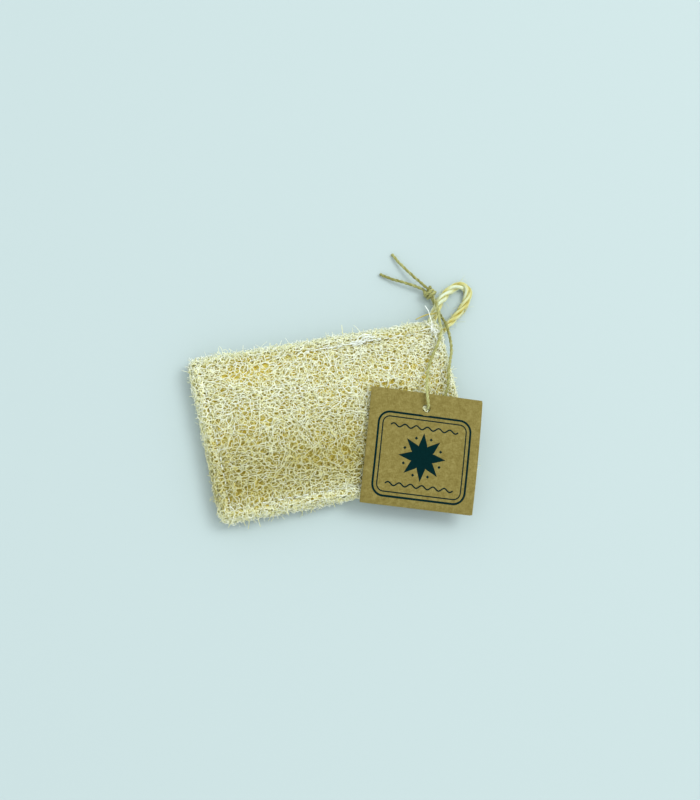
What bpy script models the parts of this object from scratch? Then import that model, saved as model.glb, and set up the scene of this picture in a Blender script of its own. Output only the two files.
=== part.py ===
"""A natural loofah scrub pad, sewn round its hem, with a hanging loop and a card tag on a twine.

The pad lies flat on z = 0 with its long side along X. The loop is sewn into the +X +Y corner.
"""
import math
import random

import bmesh
import bpy
from mathutils import Vector, geometry

MM = 0.001
GAP = 0.3 * MM  # between pieces that touch

# The pad: a dried luffa pressed flat, with its edge rolled round and sewn down.
PAD_LENGTH = 115 * MM
PAD_WIDTH = 72 * MM
CORNER_RADIUS = 5 * MM
HEM_RADIUS = 4.4 * MM  # the rolled edge, half of the hem's thickness
HEM_LIFT = 0.8 * MM  # the hem stands this much off the table
CROWN_RISE = 3.9 * MM  # the middle above the hem
CROWN_START = 6 * MM
CROWN_REACH = 20 * MM
BELLY_REACH = 6 * MM
VALLEY_Y = -12 * MM  # a shallow crease across the pad
VALLEY_WIDTH = 5 * MM
VALLEY_DEPTH = 0.8 * MM

# The net of fibres, as raised strands round sunken pores.
PORE_PITCH = 4.5 * MM
BELLY_PORE_PITCH = 9 * MM
PORE_TRIES = 12000  # random places that are tried for a face's pores
LEAST_APART = 0.8  # of the pitch, between two pores
RING_PITCH = 5.4 * MM  # between the pores of a ring beside the seam
BELLY_RING_PITCH = 7.5 * MM
RING_WANDER = 0.3 * MM
SEAM_MARGIN = 2.15 * MM  # from the seam to the ring of pores on each side of it
PORE_DEPTH = 2.2 * MM
HEM_PORE_DEPTH = 1.3 * MM
DEPTH_SPREAD = (0.75, 1.15)
STRAND_HALF_WIDTH = 0.7 * MM
HEM_STRAND_HALF_WIDTH = 1.05 * MM
BELLY_STRAND_SHARE = 1.2  # how much wider the underside's strands are
WIDTH_SPREAD = (0.85, 1.25)
MOST_DRAWN_IN = 0.62  # of the way to a pore's middle
BELLY_LAND = 0.45 * MM  # half of the flat top of a strand on the underside
CREST_NOISE = 0.25 * MM
CREST_SHIFT = 0.5 * MM
SEED = 19

# The seam, a lock-stitch with one thread on each face.
SEAM_INSET = 5 * MM
SEAM_DEPTH = 1.2 * MM
SEAM_WIDTH = 1.6 * MM
SEAM_CORNER = 2 * MM
SEAM_FILL = 0.8  # how deep in the groove the thread lies
STITCH_PITCH = 3.6 * MM
STITCH_RISE = 0.5 * MM
THREAD_RADIUS = 0.25 * MM

# The hanging loop, laid cord. Its ends are sewn into the hem at the corner.
LOOP_RADIUS = 1.85 * MM
LOOP_STEP = 3 * LOOP_RADIUS  # between the points of its tube
LOOP_ROUTE = (
    (53.2, 33.0, 5.2), (54.3, 36.0, 5.2), (56.0, 38.6, 5.1), (57.8, 41.2, 4.8), (60.5, 44.4, 4.0),
    (63.5, 47.3, 3.0), (67.0, 49.9, 2.2), (70.7, 51.5, 2.0), (74.2, 51.4, 2.0), (76.0, 48.9, 2.0),
    (75.2, 45.6, 2.0), (73.0, 42.6, 2.0), (70.0, 39.6, 2.0), (66.3, 36.7, 2.1), (62.5, 34.0, 2.8),
    (59.5, 31.8, 4.0), (57.2, 30.3, 4.8), (54.9, 28.8, 5.2),
)
HEM_ROOTS = ((54.3, 35.6, 5.2), (57.1, 30.4, 5.0))
ROOT_SPAN = 5.5 * MM  # the hem is stitched solid this far round each end of the loop

# The tag: a square kraft card with a punched hole, a little bent.
TAG_SIDE = 50 * MM
TAG_THICKNESS = 0.6 * MM
TAG_CENTRE = (33.4, -22.2)
TAG_TURN = math.radians(-17.7)
TAG_TOP_Z = 15.5 * MM
TAG_SLOPE = 0.034
TAG_BEND_RADIUS = 250 * MM
HOLE_RADIUS = 1.8 * MM
HOLE_INSET = 6.8 * MM
HOLE_SIDES = 16
TAG_ROWS = 10  # bands of the card, across its bend

# The tag's twine: from one tail through the knot, over the loop's leg, through the tag's hole, back
# under the leg and through the knot to the other tail.
TWINE_RADIUS = 0.7 * MM
TWINE_STEP = 4.2 * TWINE_RADIUS
TWINE_ROUTE = (
    (45.3, 71.7, 0.9), (47.1, 67.6, 1.6), (48.9, 64.2, 2.3), (52.2, 58.9, 3.1), (55.4, 54.3, 3.7),
    (57.2, 51.6, 4.1), (58.2, 48.9, 4.6), (58.0, 46.0, 5.7), (58.0, 43.6, 7.3), (57.4, 40.1, 8.7),
    (56.9, 35.2, 9.3), (56.4, 31.3, 9.9), (55.0, 27.6, 10.6), (52.4, 23.5, 11.0), (49.8, 20.1, 11.1),
    (47.1, 16.4, 11.9), (44.8, 12.6, 13.2), (42.6, 7.8, 15.1), (40.6, 2.4, 17.2), (39.9, -0.4, 17.8),
    (39.3, -2.7, 17.8), (38.8, -4.2, 17.0), (38.65, -4.6, 15.8), (38.9, -4.1, 14.5), (40.1, -3.2, 13.8),
    (42.6, -2.8, 13.4), (45.6, -2.2, 13.1), (49.0, -0.5, 12.6), (51.5, 2.6, 12.0), (53.4, 7.1, 11.5),
    (54.9, 11.7, 10.9), (57.0, 16.2, 10.2), (59.0, 21.0, 9.2), (60.0, 26.0, 8.2), (60.2, 29.4, 7.7),
    (60.3, 32.2, 7.1), (60.6, 34.9, 5.4), (60.9, 37.5, 2.6), (60.7, 39.9, 1.2), (60.1, 42.4, 0.9),
    (59.3, 45.0, 1.1), (58.4, 47.8, 2.0), (56.6, 50.8, 2.3), (54.8, 52.8, 2.3), (51.2, 55.0, 2.5),
    (46.2, 57.7, 2.2), (41.5, 60.3, 1.5), (37.5, 63.2, 0.9),
)
KNOT_CENTRE = (57.4, 50.2, 3.2)
KNOT_AXIS = (-0.55, 0.8, 0.0)
KNOT_WRAPS = (-0.95, 0.75)  # along the axis, in millimetres
WRAP_RADIUS = 1.7 * MM
WRAP_STRETCH = 1.25
WRAP_SIDES = 14

ROUTE_DIVISIONS = 12  # of each span of a cord's route, where it is smoothed

# Colours, as seen on the real pieces.
FIBRE_COLOUR = (0.58, 0.58, 0.33)
THREAD_COLOUR = (0.85, 0.87, 0.9)
CORD_COLOUR = (0.72, 0.68, 0.42)
JUTE_COLOUR = (0.36, 0.32, 0.12)
CARD_COLOUR = (0.27, 0.23, 0.07)


def material(name, colour, roughness):
    made = bpy.data.materials.new(name)
    made.use_nodes = True
    shader = made.node_tree.nodes["Principled BSDF"]
    shader.inputs["Base Color"].default_value = (*colour, 1)
    shader.inputs["Roughness"].default_value = roughness
    shader.inputs["Metallic"].default_value = 0
    made.diffuse_color = (*colour, 1)
    return made


def add_object(name, mesh, made_of):
    mesh.materials.clear()
    mesh.materials.append(made_of)
    obj = bpy.data.objects.new(name, mesh)
    bpy.context.collection.objects.link(obj)
    return obj


def smoothstep(x):
    x = min(max(x, 0), 1)
    return x * x * (3 - 2 * x)


# The rolled edge takes a quarter turn from the pad's mid height to its face.
ROLL = HEM_RADIUS * math.pi / 2
ROLL_SPARE = ROLL - HEM_RADIUS
MID_Z = HEM_LIFT + HEM_RADIUS
FLAT_HALF_X = PAD_LENGTH / 2 + ROLL_SPARE
FLAT_HALF_Y = PAD_WIDTH / 2 + ROLL_SPARE
FLAT_CORNER = CORNER_RADIUS + ROLL_SPARE


def edge_distance(x, y):
    """Distance in from the flattened outline, and the outward direction there."""
    qx = abs(x) - (FLAT_HALF_X - FLAT_CORNER)
    qy = abs(y) - (FLAT_HALF_Y - FLAT_CORNER)
    if qx > 0 and qy > 0:
        reach = math.hypot(qx, qy)
        out = Vector((math.copysign(qx / reach, x), math.copysign(qy / reach, y)))
    elif qx > qy:
        reach, out = qx, Vector((math.copysign(1, x), 0))
    else:
        reach, out = qy, Vector((0, math.copysign(1, y)))
    return FLAT_CORNER - reach, out


def face_height(inset, y, side):
    """Height of the pad's face this far in from its outline, clear of the rolled edge."""
    groove = SEAM_DEPTH * math.exp(-(((inset - SEAM_INSET) / SEAM_WIDTH) ** 2))
    if side < 0:
        belly = HEM_LIFT * smoothstep((inset - CROWN_START) / BELLY_REACH)
        return HEM_LIFT - belly + groove
    rise = smoothstep((inset - CROWN_START) / CROWN_REACH)
    crease = VALLEY_DEPTH * rise * math.exp(-(((y - VALLEY_Y) / VALLEY_WIDTH) ** 2))
    return MID_Z + HEM_RADIUS + CROWN_RISE * rise - crease - groove


def on_pad(x, y, side):
    """The place on the pad's skin of a point on its flattened face."""
    depth, out = edge_distance(x, y)
    if depth >= ROLL:
        inset = depth - ROLL_SPARE
        return Vector((x, y, face_height(inset, y, side)))
    turn = max(depth, 0) / HEM_RADIUS
    inset = HEM_RADIUS * (1 - math.cos(turn))
    plan = Vector((x, y)) - out * (ROLL_SPARE - depth + inset)
    groove = face_height(inset, y, side) - face_height(0, y, side)
    return Vector((plan.x, plan.y, MID_Z + side * HEM_RADIUS * math.sin(turn) + groove))


def rounded_ring(half_x, half_y, radius, count, phase=0.0):
    """Points spaced evenly round a rounded rectangle, anticlockwise."""
    radius = max(radius, 0.4 * MM)
    run_x, run_y = half_x - radius, half_y - radius
    arc = math.pi / 2 * radius
    sides = (2 * run_y, arc, 2 * run_x, arc, 2 * run_y, arc, 2 * run_x, arc)
    corners = ((run_x, run_y), (-run_x, run_y), (-run_x, -run_y), (run_x, -run_y))
    total = sum(sides)
    points = []
    for k in range(count):
        s = (k + phase) / count * total
        part = 0
        while s > sides[part]:
            s -= sides[part]
            part = (part + 1) % 8
        corner = part // 2
        start = math.pi / 2 * corner
        if part % 2:
            angle = start + s / radius
            centre = corners[corner]
            points.append((centre[0] + radius * math.cos(angle), centre[1] + radius * math.sin(angle)))
            continue
        out = Vector((math.cos(start), math.sin(start)))
        along = Vector((-out.y, out.x))
        end = Vector(corners[corner]) + out * radius
        points.append(tuple(end - along * (sides[part] - s)))
    return points, total


def flat_ring(depth, pitch, rng, wander):
    """A ring of pore centres at one distance in from the flattened outline."""
    shape = (FLAT_HALF_X - depth, FLAT_HALF_Y - depth, FLAT_CORNER - depth)
    count = round(rounded_ring(*shape, 8)[1] / pitch)
    ring, _ = rounded_ring(*shape, count, rng.random())
    return [(x + rng.uniform(-wander, wander), y + rng.uniform(-wander, wander)) for x, y in ring]


def pore_centres(side, pitch, edge_ring, rng):
    """Pore centres of one face: two rings beside the seam, then scattered ones, never too near."""
    before_seam = HEM_RADIUS * math.acos(1 - (SEAM_INSET - SEAM_MARGIN) / HEM_RADIUS)
    after_seam = SEAM_INSET + SEAM_MARGIN + ROLL_SPARE
    ring_pitch = RING_PITCH if side > 0 else BELLY_RING_PITCH
    points = list(edge_ring)
    points += flat_ring(before_seam, ring_pitch, rng, RING_WANDER)
    points += flat_ring(after_seam, ring_pitch, rng, RING_WANDER)
    inner_x = FLAT_HALF_X - after_seam - LEAST_APART * pitch
    inner_y = FLAT_HALF_Y - after_seam - LEAST_APART * pitch
    inner = []
    for _ in range(PORE_TRIES):
        x, y = rng.uniform(-inner_x, inner_x), rng.uniform(-inner_y, inner_y)
        if all(math.hypot(x - px, y - py) > LEAST_APART * pitch for px, py in inner):
            inner.append((x, y))
    return points + inner


def net_nodes_and_pores(rng):
    """Where strands meet, on the pad's skin, and the ring of meeting points round each pore."""
    edge_ring = flat_ring(0, RING_PITCH, rng, 0)
    hull = [(i, (i + 1) % len(edge_ring)) for i in range(len(edge_ring))]
    web = bmesh.new()
    rim = [web.verts.new((x, y, 0)) for x, y in edge_ring]
    meets = []
    for side, pitch in ((1, PORE_PITCH), (-1, BELLY_PORE_PITCH)):
        centres = pore_centres(side, pitch, edge_ring, rng)
        flat = [Vector(p) for p in centres]
        spots, _, faces, origin, _, _ = geometry.delaunay_2d_cdt(flat, hull, [], 1, 1e-7, True)
        verts = []
        for spot, ids in zip(spots, origin):
            verts.append(rim[ids[0]] if ids[0] < len(rim) else web.verts.new((spot.x, spot.y, 0)))
        for face in faces:
            corners = [spots[i] for i in face]
            middle = (corners[0] + corners[1] + corners[2]) / 3
            clockwise = (corners[1] - corners[0]).cross(corners[2] - corners[0]) < 0
            order = face if clockwise == (side < 0) else face[::-1]
            web.faces.new([verts[i] for i in order])
            meets.append(meeting_point(middle, side, rng))
    web.faces.index_update()
    web.verts.index_update()
    pores = [pore_ring(vert) for vert in web.verts]
    web.free()
    return meets, pores


def meeting_point(middle, side, rng):
    """Where strands meet, on the pad's skin, a little off its even surface on the upper face."""
    depth, _ = edge_distance(middle.x, middle.y)
    inset = depth - ROLL_SPARE
    point = on_pad(middle.x, middle.y, side)
    if side > 0 and inset > SEAM_INSET + 2 * SEAM_WIDTH:
        shift = Vector((rng.uniform(-1, 1), rng.uniform(-1, 1))) * CREST_SHIFT
        point = on_pad(middle.x + shift.x, middle.y + shift.y, side)
        point.z += rng.uniform(-CREST_NOISE, CREST_NOISE)
    return point


def pore_ring(vert):
    """The faces round a vertex, in order."""
    first = loop = vert.link_loops[0]
    ring = []
    while True:
        ring.append(loop.face.index)
        loop = loop.link_loop_prev.link_loop_radial_next
        if loop is first:
            return ring


def newell_normal(points):
    normal = Vector((0, 0, 0))
    for a, b in zip(points, points[1:] + points[:1]):
        normal += a.cross(b)
    return normal.normalized()


def inner_ring(bm, points, middle, width, drop):
    """A ring drawn in towards the pore's middle by that width and sunk by that drop."""
    ring = []
    for point in points:
        reach = (middle - point).length
        ring.append(bm.verts.new(point + (middle - point) * min(width / reach, MOST_DRAWN_IN) - drop))
    return ring


def bridge(bm, outer, inner):
    """Joins two rings of as many points by a band of faces."""
    for i in range(len(outer)):
        j = (i + 1) % len(outer)
        bm.faces.new((outer[i], outer[j], inner[j], inner[i]))


def pad_mesh():
    """The closed skin of the net: each pore is a pit, and the strands are what stands between the pits."""
    rng = random.Random(SEED)
    meets, pores = net_nodes_and_pores(rng)
    bm = bmesh.new()
    crests = [bm.verts.new(point) for point in meets]
    roots = [Vector(root) * MM for root in HEM_ROOTS]
    for ring in pores:
        outer = [crests[i] for i in ring]
        points = [vert.co.copy() for vert in outer]
        middle = sum(points, Vector()) / len(points)
        normal = newell_normal(points)
        inset = min(PAD_LENGTH / 2 - abs(middle.x), PAD_WIDTH / 2 - abs(middle.y))
        on_hem = inset < SEAM_INSET
        faces_down = normal.z < -0.9
        if not faces_down and min((middle - root).length for root in roots) < ROOT_SPAN:
            bm.faces.new(outer)
            continue
        width = (HEM_STRAND_HALF_WIDTH if on_hem else STRAND_HALF_WIDTH) * rng.uniform(*WIDTH_SPREAD)
        depth = (HEM_PORE_DEPTH if on_hem else PORE_DEPTH) * rng.uniform(*DEPTH_SPREAD)
        if faces_down and not on_hem:
            land = inner_ring(bm, points, middle, BELLY_LAND, Vector())
            bridge(bm, outer, land)
            outer = land
            points = [vert.co.copy() for vert in outer]
            width *= BELLY_STRAND_SHARE
        floor = inner_ring(bm, points, middle, width, normal * depth)
        bridge(bm, outer, floor)
        bm.faces.new(floor)
    bmesh.ops.triangulate(bm, faces=bm.faces)
    mesh = bpy.data.meshes.new("loofah_pad")
    bm.to_mesh(mesh)
    bm.free()
    return mesh


def smooth_route(points, step):
    """Points every step along a smooth curve through the route's own points."""
    ends = [2 * points[0] - points[1], *points, 2 * points[-1] - points[-2]]
    fine = []
    for i in range(1, len(ends) - 2):
        a, b, c, d = ends[i - 1 : i + 3]
        slope, bend, twist = c - a, 2 * a - 5 * b + 4 * c - d, 3 * b - a - 3 * c + d
        for k in range(ROUTE_DIVISIONS):
            t = k / ROUTE_DIVISIONS
            fine.append(0.5 * (2 * b + slope * t + bend * t**2 + twist * t**3))
    fine.append(points[-1])
    lengths = [(q - p).length for p, q in zip(fine, fine[1:])]
    count = max(2, round(sum(lengths) / step))
    route, walked, at = [fine[0]], 0.0, 0
    for k in range(1, count):
        target = k / count * sum(lengths)
        while walked + lengths[at] < target:
            walked += lengths[at]
            at += 1
        route.append(fine[at].lerp(fine[at + 1], (target - walked) / lengths[at]))
    return [*route, fine[-1]]


def tube(name, route, radius, resolution, closed=False):
    """A curve with a round bevel along the route."""
    curve = bpy.data.curves.new(name, "CURVE")
    curve.dimensions = "3D"
    curve.bevel_depth = radius
    curve.bevel_resolution = resolution
    curve.use_fill_caps = not closed
    spline = curve.splines.new("POLY")
    spline.points.add(len(route) - 1)
    for point, place in zip(spline.points, route):
        point.co = (*place, 1)
    spline.use_cyclic_u = closed
    return curve


def as_mesh(name, data):
    """The mesh that Blender makes of a curve."""
    holder = bpy.data.objects.new(name, data)
    bpy.context.collection.objects.link(holder)
    graph = bpy.context.evaluated_depsgraph_get()
    mesh = bpy.data.meshes.new_from_object(holder.evaluated_get(graph))
    bpy.data.objects.remove(holder)
    return mesh


def boolean(obj, other, operation):
    """A Boolean by another object, which stays as a hidden helper."""
    other.hide_render = True
    other.display_type = "WIRE"
    modifier = obj.modifiers.new(operation.title(), "BOOLEAN")
    modifier.operation = operation
    modifier.solver = "EXACT"
    modifier.object = other


def loop_route():
    return smooth_route([Vector(point) * MM for point in LOOP_ROUTE], LOOP_STEP)


def make_pad():
    """The net, with a pocket in the hem for each end of the loop."""
    fibre = material("loofah_fibre", FIBRE_COLOUR, 0.85)
    pad = add_object("loofah_pad", pad_mesh(), fibre)
    route = loop_route()
    route[0] += (route[0] - route[1]).normalized() * GAP
    route[-1] += (route[-1] - route[-2]).normalized() * GAP
    pockets = as_mesh("loop_pockets", tube("loop_pockets", route, LOOP_RADIUS + GAP, 2))
    boolean(pad, add_object("loop_pockets", pockets, fibre), "DIFFERENCE")


def make_loop():
    cord = material("loop_cord", CORD_COLOUR, 0.7)
    add_object("hanging_loop", tube("hanging_loop", loop_route(), LOOP_RADIUS, 2), cord)


def make_seam(name, side, thread):
    """One thread of the lock-stitch. The front one rises over each stitch and dips at each needle hole."""
    half_x, half_y = PAD_LENGTH / 2 - SEAM_INSET, PAD_WIDTH / 2 - SEAM_INSET
    stitches = round(rounded_ring(half_x, half_y, SEAM_CORNER, 8)[1] / STITCH_PITCH)
    per_stitch = 2 if side > 0 else 1
    ring, _ = rounded_ring(half_x, half_y, SEAM_CORNER, per_stitch * stitches, 0.25)
    face = MID_Z + side * HEM_RADIUS
    low = face - side * (SEAM_FILL * SEAM_DEPTH - GAP - THREAD_RADIUS)
    route = []
    for k, (x, y) in enumerate(ring):
        rise = STITCH_RISE if k % per_stitch else 0
        route.append(Vector((x, y, low + rise)))
    add_object(name, tube(name, route, THREAD_RADIUS, 0, closed=True), thread)


def make_tag():
    """The card is cut square, punched, turned into place and bent over the pad."""
    card = material("kraft_card", CARD_COLOUR, 0.9)
    bm = bmesh.new()
    bmesh.ops.create_grid(bm, x_segments=2, y_segments=TAG_ROWS, size=TAG_SIDE / 2)
    base = bmesh.ops.extrude_face_region(bm, geom=bm.faces[:])
    raised = [item for item in base["geom"] if isinstance(item, bmesh.types.BMVert)]
    bmesh.ops.translate(bm, verts=raised, vec=(0, 0, TAG_THICKNESS))
    bmesh.ops.recalc_face_normals(bm, faces=bm.faces)
    mesh = bpy.data.meshes.new("kraft_tag")
    bm.to_mesh(mesh)
    bm.free()
    tag = add_object("kraft_tag", mesh, card)
    bm = bmesh.new()
    punch_size = {"radius1": HOLE_RADIUS, "radius2": HOLE_RADIUS, "depth": 4 * TAG_THICKNESS}
    bmesh.ops.create_cone(bm, cap_ends=True, segments=HOLE_SIDES, **punch_size)
    bmesh.ops.translate(bm, verts=bm.verts, vec=(0, TAG_SIDE / 2 - HOLE_INSET, 0))
    punch_mesh = bpy.data.meshes.new("hole_punch")
    bm.to_mesh(punch_mesh)
    bm.free()
    punch = add_object("hole_punch", punch_mesh, card)
    boolean(tag, punch, "DIFFERENCE")
    graph = bpy.context.evaluated_depsgraph_get()
    punched = bpy.data.meshes.new_from_object(tag.evaluated_get(graph))
    for helper in (punch, tag):
        bpy.data.objects.remove(helper)
    cos, sin = math.cos(TAG_TURN), math.sin(TAG_TURN)
    for vert in punched.vertices:
        x, y, z = vert.co
        down = TAG_SIDE / 2 - y
        drop = TAG_SLOPE * down + down * down / (2 * TAG_BEND_RADIUS)
        place_x = TAG_CENTRE[0] * MM + cos * x - sin * y
        place_y = TAG_CENTRE[1] * MM + sin * x + cos * y
        vert.co = (place_x, place_y, TAG_TOP_Z - drop + z)
    add_object("kraft_tag", punched, card)


def knot_wrap(offset):
    """One turn of the overhand knot, a ring round both runs of the twine."""
    axis = Vector(KNOT_AXIS).normalized()
    centre = Vector(KNOT_CENTRE) * MM + axis * offset * MM
    up = Vector((0, 0, 1))
    across = axis.cross(up)
    ring = []
    for k in range(WRAP_SIDES):
        angle = math.tau * k / WRAP_SIDES
        ring.append(centre + (across * math.cos(angle) + up * math.sin(angle) * WRAP_STRETCH) * WRAP_RADIUS)
    return ring


def make_string():
    """The twine as one tube, joined to the knot's turns."""
    jute = material("jute_twine", JUTE_COLOUR, 0.85)
    route = smooth_route([Vector(point) * MM for point in TWINE_ROUTE], TWINE_STEP)
    run = as_mesh("tag_string", tube("run", route, TWINE_RADIUS, 2))
    string = add_object("tag_string", run, jute)
    for k, offset in enumerate(KNOT_WRAPS):
        wrap_mesh = as_mesh("wrap", tube("wrap", knot_wrap(offset), TWINE_RADIUS, 1, closed=True))
        wrap = add_object(f"knot_wrap_{k}", wrap_mesh, jute)
        boolean(string, wrap, "UNION")


for old in list(bpy.data.objects):
    bpy.data.objects.remove(old)
make_pad()
make_loop()
white_thread = material("sewing_thread", THREAD_COLOUR, 0.5)
make_seam("seam_thread_front", 1, white_thread)
make_seam("seam_thread_back", -1, white_thread)
make_tag()
make_string()
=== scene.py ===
import math
import random

import bpy
import numpy as np
from mathutils import Matrix, Vector, geometry, noise


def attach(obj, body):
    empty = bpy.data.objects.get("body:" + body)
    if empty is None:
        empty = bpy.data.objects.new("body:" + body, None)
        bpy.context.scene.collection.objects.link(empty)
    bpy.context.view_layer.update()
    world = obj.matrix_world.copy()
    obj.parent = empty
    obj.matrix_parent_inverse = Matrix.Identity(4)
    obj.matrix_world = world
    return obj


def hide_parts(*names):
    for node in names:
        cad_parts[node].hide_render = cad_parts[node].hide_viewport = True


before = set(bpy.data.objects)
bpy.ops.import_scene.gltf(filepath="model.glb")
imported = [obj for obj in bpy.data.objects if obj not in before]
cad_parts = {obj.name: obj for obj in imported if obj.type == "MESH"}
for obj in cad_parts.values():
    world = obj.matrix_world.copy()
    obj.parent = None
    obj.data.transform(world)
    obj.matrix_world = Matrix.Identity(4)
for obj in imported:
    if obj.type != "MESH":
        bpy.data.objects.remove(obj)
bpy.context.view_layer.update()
MM = 0.001

# The view: from well above the pad and a little to its lower left, with a long lens, so that the
# pad's face shows with a sliver of its left and near edges.
VIEW_POINT = Vector((-0.1465, -0.1224, 0.5854))
VIEW_BACK = Vector((-0.2534, -0.2107, 0.9441)).normalized()
VIEW_UP = Vector((0.1661, 0.9520, 0.2570)).normalized()
view_right = VIEW_UP.cross(VIEW_BACK).normalized()
lens = bpy.data.cameras.new("view")
lens.lens = 63.28
lens.sensor_width = 36
viewer = bpy.data.objects.new("view", lens)
turn = Matrix((view_right, VIEW_BACK.cross(view_right), VIEW_BACK)).transposed()
viewer.matrix_world = Matrix.Translation(VIEW_POINT) @ turn.to_4x4()
bpy.context.collection.objects.link(viewer)
bpy.context.scene.camera = viewer

# The hanging loop is a short piece of three-strand laid cord, of pale sisal with golden fibres in
# it. Both of its ends go into the hem at the pad's corner and are sewn in there. A few of its
# fibres have worked loose.
LOOP_THICK = 3.7 * MM
LOOP_ROUTE = (
    (53.2, 33.0, 5.2), (54.3, 36.0, 5.2), (56.0, 38.6, 5.1), (57.8, 41.2, 4.8), (60.5, 44.4, 4.0),
    (63.5, 47.3, 3.0), (67.0, 49.9, 2.2), (70.7, 51.5, 2.0), (74.2, 51.4, 2.0), (76.0, 48.9, 2.0),
    (75.2, 45.6, 2.0), (73.0, 42.6, 2.0), (70.0, 39.6, 2.0), (66.3, 36.7, 2.1), (62.5, 34.0, 2.8),
    (59.5, 31.8, 4.0), (57.2, 30.3, 4.8), (54.9, 28.8, 5.2),
)
LOOP_LAY = 18 * MM  # one whole turn of a strand round the cord
LOOP_STRANDS = 3
STRAND_OUT, STRAND_RADIUS, STRAND_SIDES = 0.27 * LOOP_THICK, 0.25 * LOOP_THICK, 32
FAR_SLIM = 0.17  # how much tighter the cord is laid in its far arm
YARN_RIDGES, YARN_DEPTH = 9, 0.1
YARN_TURN = -150  # how far the ridges turn round a strand, in radians a metre
# The groove tint and the reach below paint shade: the cord is darker and more golden in the grooves between
# its yarns and deep between its strands, and paler on its outer ridges.
SISAL_TINT, DRIFT_TINT, GROOVE_SHADE_TINT, YARN_TINT = 0.58, 0.16, 0.26, 0.24
STRAND_SHADE_REACH = 0.85  # of the cord's radius: it is paler further out and more golden further in
LOOP_HAIRS, LOOP_HAIR_REACH, LOOP_HAIR_GIRTH = 90, 5 * MM, 0.13 * MM
FLOOR_GAP = 0.05 * MM  # between the table and the fibres that lie on it
# Locks of fibre that stand off the cord: where each starts and ends along it as shares, the angle
# that it leaves at, how far it bulges out as a share of the cord's thickness, and its tint.
LOOP_LOCKS = (
    (0.46, 0.62, 3.2, 0.16, 0.3), (0.47, 0.64, 2.6, 0.1, 0.75), (0.5, 0.7, 0.2, 0.1, 0.2),
    (0.6, 0.82, 2.9, 0.06, 0.25), (0.66, 0.9, 0.9, 0.05, 0.85), (0.12, 0.34, 1.2, 0.05, 0.9),
)
GOLDEN_FIBRE = ((57.2, 39.6, 7.0), (55.3, 38.9, 7.9), (52.5, 38.9, 8.4), (49.5, 38.3, 8.6), (46.4, 37.4, 8.6))
GOLDEN_GIRTHS, GOLDEN_TINT = (0.75 * MM, 0.5 * MM), 0.12
LOCK_GIRTH, LOCK_SPIN = 0.6 * MM, 1.6
SISAL = (
    (0.0, (0.42, 0.32, 0.04)), (0.35, (0.60, 0.55, 0.17)),
    (0.7, (0.66, 0.69, 0.39)), (1.0, (0.69, 0.78, 0.67)),
)


def smooth_path(route, step):
    """Even points in metres along a smooth curve through a route in millimetres."""
    points = np.array(route) * MM
    knots = np.vstack([2 * points[0] - points[1], points, 2 * points[-1] - points[-2]])
    a, b, c, d = knots[:-3, None], knots[1:-2, None], knots[2:-1, None], knots[3:, None]
    t = np.linspace(0, 1, 24, endpoint=False)[None, :, None]
    fine = 2 * b + (c - a) * t + (2 * a - 5 * b + 4 * c - d) * t**2 + (3 * b - a - 3 * c + d) * t**3
    fine = np.vstack([0.5 * fine.reshape(-1, 3), points[-1]])
    walked = np.concatenate([[0], np.cumsum(np.linalg.norm(np.diff(fine, axis=0), axis=1))])
    at = np.linspace(0, walked[-1], max(3, round(walked[-1] / step) + 1))
    return np.stack([np.interp(at, walked, fine[:, k]) for k in range(3)], axis=1)


def walk_of(path):
    """How far along the path each of its points lies."""
    return np.concatenate([[0], np.cumsum(np.linalg.norm(np.diff(path, axis=0), axis=1))])


def path_frames(path):
    """Along, side and top directions at each point, carried on without twist."""
    along = np.gradient(path, axis=0)
    along /= np.linalg.norm(along, axis=1)[:, None]
    side = np.empty_like(path)
    held = np.cross(along[0], (0, 0, 1))
    for k, forward in enumerate(along):
        held = held - forward * (held @ forward)
        held = held / np.linalg.norm(held)
        side[k] = held
    return along, side, np.cross(along, side)


def ridged_tube(path, radius, sides, ridges, depth, turn):
    """Rings of points round a path with the ridges of its yarns, and each point's angle among them."""
    _, side, top = path_frames(path)
    angle = np.linspace(0, math.tau, sides, endpoint=False)[None, :]
    phase = angle - turn * walk_of(path)[:, None]
    reach = np.broadcast_to(radius, len(path))[:, None] * (1 + depth * np.cos(ridges * phase))
    ring = side[:, None] * np.cos(angle)[..., None] + top[:, None] * np.sin(angle)[..., None]
    return path[:, None] + ring * reach[..., None], phase


def laid_strand(path, lay, share, offset):
    """The line of one strand as it winds round a cord, at that distance from the cord's middle."""
    _, side, top = path_frames(path)
    angle = math.tau * (walk_of(path) / lay + share)[:, None]
    return path + offset * (side * np.cos(angle) + top * np.sin(angle))


def fine_tubes(lines, girth, sides):
    """Rings of points round many short fibres at once, all of one girth or of one at each point."""
    way = np.gradient(lines, axis=1)
    way /= np.maximum(np.linalg.norm(way, axis=2), 1e-9)[..., None]
    least = np.abs(lines[:, -1] - lines[:, 0]).argmin(axis=1)
    across = np.cross(way, np.eye(3)[least][:, None])
    across /= np.maximum(np.linalg.norm(across, axis=2), 1e-9)[..., None]
    top = np.cross(across, way)
    angle = np.linspace(0, math.tau, sides, endpoint=False)[:, None]
    ring = across[:, :, None] * np.cos(angle) + top[:, :, None] * np.sin(angle)
    reach = np.broadcast_to(girth, lines.shape[:2]) / 2
    return lines[:, :, None] + ring * reach[..., None, None]


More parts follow.
